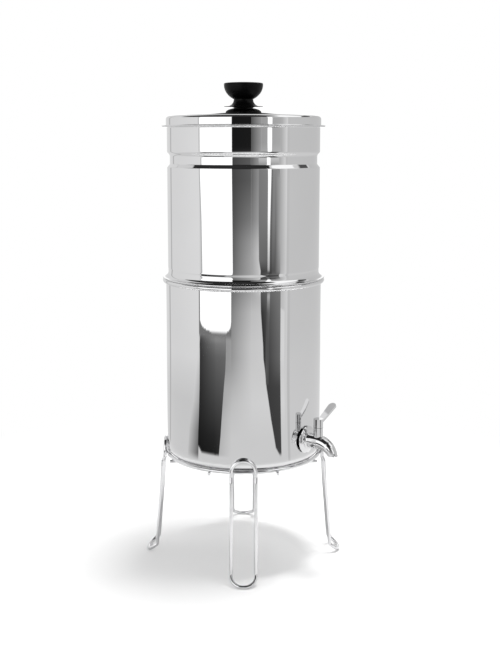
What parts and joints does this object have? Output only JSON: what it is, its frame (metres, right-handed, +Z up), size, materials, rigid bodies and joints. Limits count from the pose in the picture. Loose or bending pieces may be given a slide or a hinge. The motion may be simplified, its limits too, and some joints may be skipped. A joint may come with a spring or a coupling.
{
  "type": "gravity water filter",
  "caption": "Gravity water filter: two stacked polished steel chambers on a wire stand, with a domed lid, a black knob, candle elements and a quarter-turn tap.",
  "frame": {"origin": "on the chambers' vertical axis, at the floor under the stand's feet", "axes": "+Z up along the chambers' axis, -Y the front, +X the right; the tap stands between the front and the right"},
  "size_m": [0.278, 0.278, 0.6629],
  "materials": {
    "mirror_steel": "polished",
    "plated_wire": "polished",
    "tap_steel": "polished",
    "screw_steel": "satin",
    "seal_rubber": "matte",
    "seat_plastic": "matte",
    "white_plastic": "satin",
    "candle_ceramic": "matte",
    "carbon_block": "matte",
    "black_plastic": "satin"
  },
  "bodies": {
    "stand": {"stand_ring": "plated_wire", "grid_wire_front": "plated_wire", "grid_wire_back": "plated_wire", "grid_wire_left": "plated_wire", "grid_wire_right": "plated_wire", "leg_front": "plated_wire", "leg_right": "plated_wire", "leg_back": "plated_wire", "leg_left": "plated_wire"},
    "lower_chamber": {"lower_shell": "mirror_steel", "tap_body": "tap_steel", "tap_shank": "tap_steel", "tap_outer_washer": "seal_rubber", "tap_inner_washer": "seal_rubber", "tap_lock_nut": "tap_steel", "ball_seat_inlet": "seat_plastic", "ball_seat_outlet": "seat_plastic", "stem_o_ring": "seal_rubber"},
    "lever": {"valve_ball": "tap_steel", "valve_stem": "tap_steel", "tap_lever": "tap_steel", "lever_screw": "screw_steel"},
    "upper_chamber": {"upper_shell": "mirror_steel", "candle_shell_left": "candle_ceramic", "candle_shell_right": "candle_ceramic", "carbon_core_left": "carbon_block", "carbon_core_right": "carbon_block", "candle_base_left": "white_plastic", "candle_base_right": "white_plastic", "candle_washer_left": "seal_rubber", "candle_washer_right": "seal_rubber", "wing_nut_left": "white_plastic", "wing_nut_right": "white_plastic", "blanking_plug_front": "white_plastic", "blanking_plug_back": "white_plastic", "plug_washer_front": "seal_rubber", "plug_washer_back": "seal_rubber", "plug_nut_front": "white_plastic", "plug_nut_back": "white_plastic"},
    "lid": {"lid_shell": "mirror_steel", "lid_knob": "black_plastic", "knob_washer": "screw_steel", "knob_screw": "screw_steel"}
  },
  "joints": [
    {"name": "lower_lift", "type": "slide", "parent": "stand", "child": "lower_chamber", "axis": [0, 0, 1], "range_m": [0, 0.05]},
    {"name": "lever_turn", "type": "hinge", "parent": "lower_chamber", "child": "lever", "pos_m": [0.10063, -0.07862, 0.1828], "axis": [0, 0, -1], "range_deg": [0, 90]},
    {"name": "upper_lift", "type": "slide", "parent": "lower_chamber", "child": "upper_chamber", "axis": [0, 0, 1], "range_m": [0, 0.09]},
    {"name": "lid_lift", "type": "slide", "parent": "upper_chamber", "child": "lid", "axis": [0, 0, 1], "range_m": [0, 0.06]}
  ]
}
